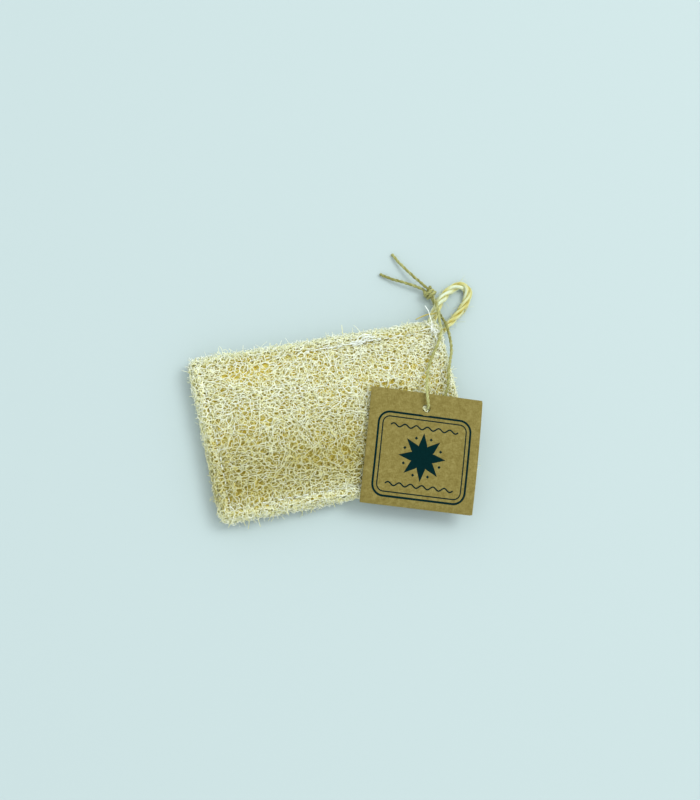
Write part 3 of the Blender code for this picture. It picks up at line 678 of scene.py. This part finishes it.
def felt(seed, steps, around):
    """The dense inner web: one closed sheet right round the pad, deep under the outer nets."""
    middle = PAD_HALF_Y + ROLL_SPARE - 0.3 * MM
    inward = np.concatenate([np.linspace(0, ROLL, 9)[:-1], np.linspace(ROLL, middle, steps)])
    share = np.linspace(0, 1, around, endpoint=False)
    rows, tints = [], []
    for side, insets in ((1, inward[::-1]), (-1, inward[1:])):
        for inset in insets:
            flat = rim_point(share, min(inset, PAD_CORNER + ROLL_SPARE))
            shrink = max(inset - PAD_CORNER - ROLL_SPARE, 0)
            flat = np.sign(flat) * np.maximum(np.abs(flat) - shrink, 0)
            cells = flat * FELT_CELLS
            knot = [noise.voronoi(Vector((x, y, side * 3 + seed)))[0] for x, y in cells]
            ridge = np.array([min(1.0, (near[1] - near[0]) * 2.2) for near in knot])
            rows.append(on_pad(flat, side, (FELT_DEPTH + FELT_RELIEF * ridge) * MM))
            # Painted shade: the web is darker and more golden in its deeper pores.
            tints.append(FELT_TINTS[side] - 0.32 * ridge)
    return np.array(rows), np.array(tints)


# Where the tips of the longer fibres lie: most are in one tuft at the far edge.
STRAY_TIPS = (
    (-44.4, 38.4, 8.4), (-43.6, 37.4, 8.8), (-42.6, 38.6, 7.4), (-41.4, 37.3, 8.4), (-40.2, 38.2, 7.0),
    (-39.2, 37.0, 8.2), (-59.0, -25.5, 5.0), (-58.6, -24.6, 4.2), (7.0, 37.4, 7.0),
)
# The cut ends: how deep they start, and how much longer they are at the corners and on the long sides.
CUT_RINGS, CUT_ROOT, CORNER_LONGER, SIDE_LONGER = 4, 0.35 * MM, 1.2, 1.7
# The felted web: its pores a metre along and across, its depth and relief in millimetres, its faces' tints,
# which are painted shade for a web this deep.
FELT_CELLS, FELT_DEPTH, FELT_RELIEF, FELT_TINTS = (480, 560), 2.0, 0.9, {1: 0.38, -1: 0.6}
# The lit value dims the whole web as painted shade.
FELT_LIT = 0.95
# Where the tag's hole and its left corner lie on the unrolled face, and the tuft in the hole.
TAG_HOLE, TAG_LEFT = (38.7 * MM, -5.0 * MM), -4 * MM
TUFT_HEIGHTS, TUFT_TINTS = (3.4, 4.1), (-1.1, -0.7)
LUFFA = (
    (0.0, (0.76, 0.53, 0.02)), (0.3, (0.90, 0.74, 0.13)), (0.55, (0.92, 0.87, 0.38)),
    (0.75, (0.92, 0.92, 0.62)), (1.0, (0.92, 0.95, 0.86)),
)
# How much more golden and darker the painted shade makes the fibre, and how much brighter the painted light
# makes the rim.
SHADE_GOLD, SHADE_DARK, RIM_PAINTED_LIGHT = 0.2, 0.24, 0.06
RIM_START, RIM_REACH = 7 * MM, 5 * MM
# The painted shade starts above the pad's middle and ends at its near hem, which is left paler as painted
# light. More painted shade lies below the crease, but not at its left end.
SHADE_FROM, SHADE_REACH, LIT_HEM_FROM, LIT_HEM_REACH = 16 * MM, 40 * MM, -25 * MM, 8 * MM
FOLD_BELOW, FOLD_WIDTH, FOLD_FROM, FOLD_REACH = 4 * MM, 4.5 * MM, 42 * MM, 30 * MM
luffa_finish = fibre_finish("luffa_fibre", LUFFA, 0.5, 800, 0.16, 0.1, 0.4)
luffa_nodes = luffa_finish.node_tree.nodes
luffa_colour = luffa_nodes["Color Ramp"].outputs["Color"]
# The bright attribute scales the fibre's colour by the painted shade and painted light.
bright = add_node(luffa_finish, "ShaderNodeAttribute", {}, attribute_name="bright").outputs["Fac"]
shaded = add_node(luffa_finish, "ShaderNodeVectorMath", {0: luffa_colour, "Scale": bright}, operation="SCALE")
luffa_finish.node_tree.links.new(shaded.outputs[0], luffa_nodes["Principled BSDF"].inputs["Base Color"])
# Each layer: its name, face, distance between pores, their stretch along the pad, the shallowest and
# deepest it lies, its strands' thickness and rings, and the share of its strands that is kept.
NETS = (
    ("fibre_top", 1, 1.85, 1.4, 0.0, 0.7, 0.42, 5, 0.96),
    ("fibre_top_cross", 1, 1.8, 1.2, 0.2, 1.2, 0.40, 4, 0.95),
    ("fibre_middle", 1, 1.7, 1.4, 0.8, 1.8, 0.42, 4, 1.0),
    ("fibre_deep", 1, 1.9, 1.1, 1.4, 2.4, 0.46, 3, 1.0),
    ("fibre_back", -1, 2.2, 1.3, 0.0, 0.8, 0.44, 4, 0.97),
    ("fibre_back_cross", -1, 2.3, 1.1, 0.5, 1.8, 0.46, 4, 0.95),
)


def painted_shade(points):
    """How much painted shade the fibre gets: over the near half of the pad, and along its crease."""
    x, y = points[:, 0], points[:, 1]
    lit_hem = smoothstep((LIT_HEM_FROM - y) / LIT_HEM_REACH)
    near = smoothstep((SHADE_FROM - y) / SHADE_REACH) * (1 - 0.8 * lit_hem)
    fold = np.exp(-(((y - CREASE_Y + FOLD_BELOW) / FOLD_WIDTH) ** 2))
    return near + 0.3 * (fold * smoothstep((x + FOLD_FROM) / FOLD_REACH))


def dress_pad(piece, lit=1.0):
    """Darkens a piece of the pad with painted shade, brightens its rim with painted light, and declares what
    it stands for.
    """
    points = np.empty(3 * len(piece.data.vertices), np.float32)
    piece.data.vertices.foreach_get("co", points)
    bright = piece.data.attributes.new("bright", "FLOAT", "POINT")
    points = points.reshape(-1, 3)
    beyond = np.abs(points[:, :2]) - (PAD_HALF_X - RIM_START, PAD_HALF_Y - RIM_START)
    # Painted light brightens the rim; painted shade darkens the near half and the crease.
    shade = lit - SHADE_DARK * painted_shade(points) + RIM_PAINTED_LIGHT * smoothstep(beyond.max(1) / RIM_REACH)
    bright.data.foreach_set("value", shade.astype(np.float32))
    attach(piece, "root")
    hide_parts("loofah_pad")


def pad_layer(name, *bundles):
    """Makes one piece of the pad out of its bundles of fibres."""
    skein = Skein()
    for rings, tint in bundles:
        skein.tubes(rings, tint)
    # Painted shade: the fibre is more golden over the near half of the pad and along its crease.
    skein.tints = [tint - SHADE_GOLD * painted_shade(points) for tint, points in zip(skein.tints, skein.points)]
    dress_pad(skein.piece(name, luffa_finish))


for number, (name, *layer) in enumerate(NETS):
    pad_layer(name, netting(100 + number, *layer))
pad_layer("fibre_long", wandering(21, 1, 320, 16), wandering(22, -1, 110, 14))
pad_layer("fibre_stars", stars(31, 1, 60), stars(32, -1, 40))
pad_layer("fibre_ends", cut_ends(41, 2000), strays())
pad_layer("fibre_curls", hem_curls(61, 1, 1900, -5 * MM, 5 * MM), hem_curls(62, -1, 450, 0.5 * MM, 5 * MM))
pad_layer("fibre_matted", face_curls(63, 1, 2000), caught_tuft(64, 40))
felt_points, felt_tints = felt(7, 28, 330)
rows, around = felt_points.shape[:2]
index = np.arange(rows * around).reshape(rows, around)
quads = np.stack([index[:-1], np.roll(index[:-1], -1, 1), np.roll(index[1:], -1, 1), index[1:]], axis=-1)
closed = []
for row, flip in ((index[0], True), (index[-1], False)):
    half = around // 2
    for k in range(half - 1):
        corners = [row[k], row[k + 1], row[-k - 2], row[-k - 1]]
        closed.append(corners[::-1] if flip else corners)
faces = [quads.reshape(-1, 4), np.array(closed)]
felt_piece = woven("fibre_felt", felt_points.reshape(-1, 3), faces, felt_tints.ravel(), luffa_finish)
dress_pad(felt_piece, FELT_LIT)

# The seam is a machine lock-stitch of white cotton that goes through the pad all round, a little in
# from the edge. Some of its stitches lie buried among the fibres. It is sewn over twice where it
# starts and where it holds the loop, and the ends of the thread are left there.
STITCH_PITCH, STITCH_SHOWS = 3.6 * MM, 2.4 * MM
STITCH_DIVE = 1.4 * MM
THREAD_THICK = 0.44 * MM
SEAM_CORNER = 2 * MM
SEAM_WANDER = 0.13 * MM
SEAM_WAVES = 0.3  # how far the stitches sink and rise again along the seam, in millimetres
COTTON = ((0.0, (0.72, 0.80, 0.80)), (0.5, (0.91, 0.97, 0.95)), (1.0, (0.97, 1.0, 0.97)))
# Routes of the loose thread, in millimetres: across the face, and how far it stands off the skin.
START_THREADS = (
    (
        (-2.5, 31.0, 0.1), (1.5, 31.2, 0.4), (5.5, 30.9, 0.3), (9.5, 31.2, 0.5), (13.5, 31.1, 0.5),
        (17.5, 31.3, 0.5),
    ),
    (
        (12.5, 31.2, 0.1), (15.6, 30.8, 0.6), (19.0, 30.9, 0.9), (22.2, 31.9, 1.1), (25.4, 32.0, 0.7),
        (28.5, 31.2, 0.1),
    ),
    ((14.0, 31.6, 0.2), (17.0, 31.7, 0.9), (19.6, 31.0, 1.2), (22.6, 31.2, 0.9), (26.0, 31.2, 0.6)),
    ((16.2, 31.0, 0.4), (17.8, 32.4, 1.1), (20.4, 33.6, 1.2), (23.0, 33.2, 0.9), (24.6, 33.8, 0.4)),
    ((17.0, 30.6, 0.3), (19.2, 31.8, 1.2), (21.2, 32.6, 1.2), (23.8, 32.4, 1.0), (26.8, 32.6, 0.3)),
    ((15.0, 30.3, 0.2), (17.4, 30.0, 0.8), (19.6, 30.4, 1.0), (20.8, 31.6, 1.0), (20.2, 33.2, 0.5)),
)
ROOT_THREADS = (
    (
        (47.0, 31.8, 0.1), (50.2, 32.0, 0.7), (52.4, 31.6, 1.1), (54.4, 30.4, 1.1), (55.4, 28.6, 0.6),
        (54.6, 27.0, 0.1),
    ),
    ((50.6, 34.4, 0.3), (51.8, 32.8, 1.0), (53.2, 30.8, 1.3), (53.0, 28.4, 1.0), (54.0, 25.8, 0.1)),
    ((54.6, 33.0, 0.4), (52.8, 32.8, 1.1), (51.8, 31.0, 1.1), (53.6, 29.6, 1.0), (55.6, 29.8, 0.4)),
    (
        (52.2, 35.2, 0.4), (52.8, 33.4, 1.0), (52.0, 31.6, 1.3), (53.6, 29.8, 1.1), (53.2, 27.2, 0.7),
        (54.6, 24.6, 0.1),
    ),
)
FRAY_HAIRS, FRAY_REACH, FRAY_GIRTH = 6, 2.2 * MM, 0.18 * MM
FREE_END = ((52.4, 31.8, 9.4), (52.8, 34.0, 10.3), (52.6, 36.8, 10.2), (52.9, 40.0, 9.2), (52.3, 43.2, 8.0))
PROUD_SPOTS = ((22, 31, 30), (-22, -31, 12), (53, 5, 10))  # where the seam stands clear: x, y and reach


def seam_spots(share):
    """Points on the line of the seam at that share of the way round it."""
    core_x = PAD_HALF_X - SEAM_INSET - SEAM_CORNER
    core_y = PAD_HALF_Y - SEAM_INSET - SEAM_CORNER
    return round_rim(share, core_x, core_y, SEAM_CORNER, SEAM_CORNER)


def plies(lines, thick, turns):
    """Two plies laid round each of several short threads."""
    way = np.gradient(lines, axis=1)
    level = np.cross(way, (0, 0, 1))
    level /= np.maximum(np.linalg.norm(level, axis=2), 1e-9)[..., None]
    t = np.linspace(0, math.tau * turns, lines.shape[1])[None, :, None]
    shift = (level * np.cos(t) + np.array((0, 0, 1)) * np.sin(t)) * 0.22 * thick
    return [fine_tubes(lines + off, 0.6 * thick, 5) for off in (shift, -shift)]


seam_round = 4 * (PAD_HALF_X + PAD_HALF_Y - 2 * SEAM_INSET - 2 * SEAM_CORNER) + math.tau * SEAM_CORNER
stitches = round(seam_round / STITCH_PITCH)
cotton_finish = fibre_finish("white_cotton", COTTON, 0.55, 1500, 0.3, 0.3, 0.3)
for name, side, seed in (("stitches_front", 1, 51), ("stitches_back", -1, 52)):
    draw = np.random.default_rng(seed)
    t = np.linspace(0, 1, 7)[None]
    share = (np.arange(stitches)[:, None] + 0.15 + t * STITCH_SHOWS / STITCH_PITCH) / stitches
    spots = seam_spots(share) + draw.normal(0, SEAM_WANDER, (stitches, 1, 2))
    proud = np.zeros((stitches, 1))
    for x, y, reach in PROUD_SPOTS:
        apart = np.linalg.norm(spots[:, 3] - np.array((x, y)) * MM, axis=1)[:, None] / (reach * MM)
        proud = np.maximum(proud, np.exp(-(apart**4)))
    number = np.arange(stitches)
    buried = SEAM_WAVES * np.sin(0.9 * number + 0.4 * number**0.5)[:, None]
    sunk = (0.5 - 0.6 * proud + buried * (1 - proud) + draw.uniform(-0.35, 0.35, (stitches, 1))) * MM
    lines = on_pad(spots, side, sunk + STITCH_DIVE * np.abs(2 * t - 1) ** 6)
    skein = Skein()
    for rings in plies(lines, THREAD_THICK, 1.2):
        skein.tubes(rings, draw.uniform(0.45, 0.9, (stitches, 1)))
    if side > 0:
        for route in START_THREADS + ROOT_THREADS:
            flat = smooth_path(route, 0.35 * MM)
            line = on_pad(flat[:, :2], 1, -flat[:, 2])[None]
            for rings in plies(line, 0.9 * THREAD_THICK, line.shape[1] / 9):
                skein.tubes(rings, 0.85)
            fray = loose_hairs(line[0], 0.1 * MM, FRAY_HAIRS, FRAY_REACH, draw)
            skein.tubes(fine_tubes(fray, FRAY_GIRTH, 3), 0.95)
        line = smooth_path(FREE_END, 0.35 * MM)[None]
        for rings in plies(line, THREAD_THICK, line.shape[1] / 9):
            skein.tubes(rings, 0.9)
    seam = skein.piece(name, cotton_finish)
    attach(seam, "root")
    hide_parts("seam_thread_front" if side > 0 else "seam_thread_back")

# The tag is a square of thick kraft card with one punched hole. It bends a little under its own
# weight. A frame, a star and two wavy lines are printed on it in dark ink.
TAG_SIDE, TAG_THICK = 50 * MM, 0.6 * MM
TAG_CENTRE_X, TAG_CENTRE_Y = 33.4 * MM, -22.2 * MM
TAG_TURN = math.radians(-17.7)
TAG_TOP_Z, TAG_SLOPE, TAG_BEND_RADIUS = 15.5 * MM, 0.034, 250 * MM
HOLE_RADIUS, HOLE_INSET = 1.8 * MM, 6.8 * MM
TAG_CORNER, TAG_EDGE = 0.22 * MM, 0.1 * MM
TAG_ROUND = 160  # points round the card's outline
TAG_STEPS = np.concatenate([[0, 0.008, 0.02, 0.04, 0.07], np.linspace(0.12, 1, 12)])  # from hole to edge
BURR_HEIGHT, BURR_AT, BURR_WIDTH = 0.09 * MM, 0.012, 0.02  # the raised rim that the punch leaves
CUT_TINT = 0.14
INK_THICK = 0.03 * MM
PRINT_MIDDLE = (0.0, -3.2 * MM)
FRAME_HALF_X, FRAME_HALF_Y, FRAME_CORNER = 20.5 * MM, 18.0 * MM, 5 * MM
FRAME_LINES = ((0, 0.9 * MM), (1.9 * MM, 0.5 * MM))  # how far in each line lies, and its width
STAR_REACH, STAR_POINT_WIDTH, STAR_POINTS = 10.5 * MM, 4.0 * MM, 8
WAVE_UP, WAVE_HALF, WAVE_RISE, WAVE_LENGTH, WAVE_WIDTH = 12.6 * MM, 15 * MM, 0.7 * MM, 5 * MM, 0.6 * MM
LEAST_WIDTH = 0.02 * MM  # of a stroke that runs to a point
INK = ((0.0, (0.0005, 0.010, 0.011)), (1.0, (0.002, 0.022, 0.024)))
KRAFT = ((0.33, (0.155, 0.117, 0.026)), (0.50, (0.216, 0.172, 0.046)), (0.70, (0.30, 0.25, 0.085)))
# The card's mottle and its two sorts of fibre: scale, stretch, direction and fineness.
CARD_FIBRES = ((420, (1, 1, 1), 0.0, 3), (2300, (1, 0.35, 1), 0.5, 3), (1500, (0.4, 1, 1), 1.2, 5))


def on_tag(right, up, above):
    """Places on the bent tag: across it, up it, and above its lower face."""
    down = TAG_SIDE / 2 - up
    x = TAG_CENTRE_X + math.cos(TAG_TURN) * right - math.sin(TAG_TURN) * up
    y = TAG_CENTRE_Y + math.sin(TAG_TURN) * right + math.cos(TAG_TURN) * up
    z = TAG_TOP_Z - TAG_SLOPE * down - down**2 / (2 * TAG_BEND_RADIUS) + above
    return np.stack([x, y, z], axis=-1)


def card_finish():
    """Brown card: mottled, of long and short plant fibres pressed together, with a paler cut edge."""
    made = new_finish("kraft_card", 0.8, 0.15)
    place = add_node(made, "ShaderNodeTexCoord", {}).outputs["Object"]
    layers = []
    for scale, stretch, turned, detail in CARD_FIBRES:
        spread = {"Vector": place, "Scale": stretch, "Rotation": (0, 0, turned)}
        place_on = add_node(made, "ShaderNodeMapping", spread).outputs["Vector"]
        cloud = {"Vector": place_on, "Scale": scale, "Detail": detail}
        layers.append(add_node(made, "ShaderNodeTexNoise", cloud).outputs["Fac"])
    summed = layers[0]
    for layer in layers[1:]:
        summed = add_node(made, "ShaderNodeMath", {0: summed, 1: layer}, operation="ADD").outputs[0]
    third = add_node(made, "ShaderNodeMath", {0: summed, 1: 3}, operation="DIVIDE").outputs[0]
    tint = add_node(made, "ShaderNodeAttribute", {}, attribute_name="tint").outputs["Fac"]
    picks = add_node(made, "ShaderNodeMath", {0: third, 1: tint}, operation="ADD").outputs[0]
    coloured(made, picks, KRAFT, third, 0.35, 0.04 * MM)
    return made


half = TAG_SIDE / 2 - TAG_CORNER
share_round = np.arange(TAG_ROUND) / TAG_ROUND
outline = round_rim(share_round, half, half, TAG_CORNER, TAG_CORNER)
inner = round_rim(share_round, half, half, TAG_CORNER - TAG_EDGE, TAG_CORNER)
hole_up = TAG_SIDE / 2 - HOLE_INSET
hole = facing(np.arctan2(outline[:, 1] - hole_up, outline[:, 0])) * HOLE_RADIUS + (0, hole_up)
# The card's rings of points, from the hole's rim out over the upper face, down the cut edge, back
# under it and up the hole's wall: each ring's line, height and tint.
card_rings = []
for share in TAG_STEPS:
    burr = BURR_HEIGHT * math.exp(-((share - BURR_AT) / BURR_WIDTH) ** 2)
    card_rings.append((hole * (1 - share) + inner * share, TAG_THICK + burr, 0.05 if share < 0.01 else 0.0))
for above in (TAG_THICK - TAG_EDGE, TAG_THICK / 2, TAG_EDGE):
    card_rings.append((outline, above, CUT_TINT))
for share in TAG_STEPS[::-1]:
    card_rings.append((hole * (1 - share) + inner * share, 0.0, 0.0))
card_rings.append((hole, TAG_THICK / 2, CUT_TINT))
card_points = np.vstack([on_tag(flat[:, 0], flat[:, 1], above) for flat, above, _ in card_rings])
card_tints = np.repeat([tint for _, _, tint in card_rings], TAG_ROUND)
index = np.arange(len(card_points)).reshape(-1, TAG_ROUND)
down_one, beside = np.roll(index, -1, 0), np.roll(index, -1, 1)
quads = np.stack([index, down_one, np.roll(down_one, -1, 1), beside], axis=-1).reshape(-1, 4)
card = woven("tag_card", card_points, [quads], card_tints, card_finish())


def ink(skein, line, widths):
    """A printed stroke along a line on the tag, of that width at each point."""
    line = np.asarray(line, float)
    way = np.gradient(line, axis=0)
    way /= np.maximum(np.linalg.norm(way, axis=1), 1e-9)[:, None]
    out = np.stack([-way[:, 1], way[:, 0]], axis=-1) * (np.broadcast_to(widths, len(line)) / 2)[:, None]
    left, right = line + out, line - out
    low, high = TAG_THICK - INK_THICK, TAG_THICK + INK_THICK
    edges = ((left, low), (right, low), (right, high), (left, high))
    rings = np.stack([on_tag(edge[:, 0], edge[:, 1], level) for edge, level in edges], axis=1)
    skein.tubes(rings)


def ink_spot(skein, middle, half, width):
    """A small printed diamond, that far to each side of its middle and that wide across it."""
    t = np.linspace(-1, 1, 5)
    ink(skein, middle + np.stack([t, 0 * t], axis=-1) * half, width * (1 - np.abs(t)) + LEAST_WIDTH)


print_skein = Skein()
core_x, core_y = FRAME_HALF_X - FRAME_CORNER, FRAME_HALF_Y - FRAME_CORNER
for inset, width in FRAME_LINES:
    ring = round_rim(np.linspace(0, 1, 161) + 0.02, core_x, core_y, FRAME_CORNER - inset, FRAME_CORNER)
    ink(print_skein, ring + PRINT_MIDDLE, width)
ink_spot(print_skein, PRINT_MIDDLE, 1.2 * MM, 2.2 * MM)
for k in range(STAR_POINTS):
    t = np.linspace(0.02, 1, 13)
    width = STAR_POINT_WIDTH * np.minimum(t / 0.45, (1 - t) / 0.55) + LEAST_WIDTH
    way = facing(math.tau * k / STAR_POINTS)
    ink(print_skein, PRINT_MIDDLE + way * (STAR_REACH * t)[:, None], width)
    between = facing(math.tau * (k + 0.5) / STAR_POINTS)
    ink_spot(print_skein, between * 0.82 * STAR_REACH + PRINT_MIDDLE, 0.7 * MM, 1.4 * MM)
for level in (WAVE_UP, -WAVE_UP):
    across = np.linspace(-WAVE_HALF, WAVE_HALF, 90)
    wave = level + WAVE_RISE * np.sin(across * math.tau / WAVE_LENGTH) + PRINT_MIDDLE[1]
    ink(print_skein, np.stack([across, wave], axis=-1), WAVE_WIDTH)
ink_finish = fibre_finish("dark_ink", INK, 0.85, 1200, 0.8, 0.0, 0.2)
ink_finish.node_tree.nodes["Principled BSDF"].inputs["Specular IOR Level"].default_value = 0.02
print_piece = print_skein.piece("tag_print", ink_finish, smooth=False)
for piece in (card, print_piece):
    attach(piece, "root")
    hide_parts("kraft_tag")

# The table is a plain pale sheet, flat and matt, that the pad is laid on. A wide soft light high on
# the right and a bright plain room light it.
FLOOR_HALF = 2
FLOOR_CORNERS = ((-1, -1), (1, -1), (1, 1), (-1, 1))
floor_mesh = bpy.data.meshes.new("table")
floor_mesh.from_pydata([(x * FLOOR_HALF, y * FLOOR_HALF, 0) for x, y in FLOOR_CORNERS], [], [(0, 1, 2, 3)])
table = bpy.data.objects.new("table", floor_mesh)
bpy.context.collection.objects.link(table)
table_finish = bpy.data.materials.new("pale_table")
table_finish.use_nodes = True
paint = table_finish.node_tree.nodes["Principled BSDF"]
paint.inputs["Base Color"].default_value = (0.482, 0.572, 0.600, 1)
paint.inputs["Roughness"].default_value = 0.8
floor_mesh.materials.append(table_finish)

window = bpy.data.lights.new("window", "AREA")
window.shape = "DISK"
window.size = 1.6
window.energy = 33
window.color = (0.97, 1.02, 0.96)
lamp = bpy.data.objects.new("window", window)
lamp.location = (1.60, 0.60, 2.35)
lamp.rotation_euler = (-lamp.location).to_track_quat("-Z", "Y").to_euler()
bpy.context.collection.objects.link(lamp)
room = bpy.data.worlds.new("room")
room.use_nodes = True
room.node_tree.nodes["Background"].inputs["Color"].default_value = (0.965, 1.02, 0.99, 1)
room.node_tree.nodes["Background"].inputs["Strength"].default_value = 1.03
bpy.context.scene.world = room
bpy.context.scene.view_settings.view_transform = "Standard"
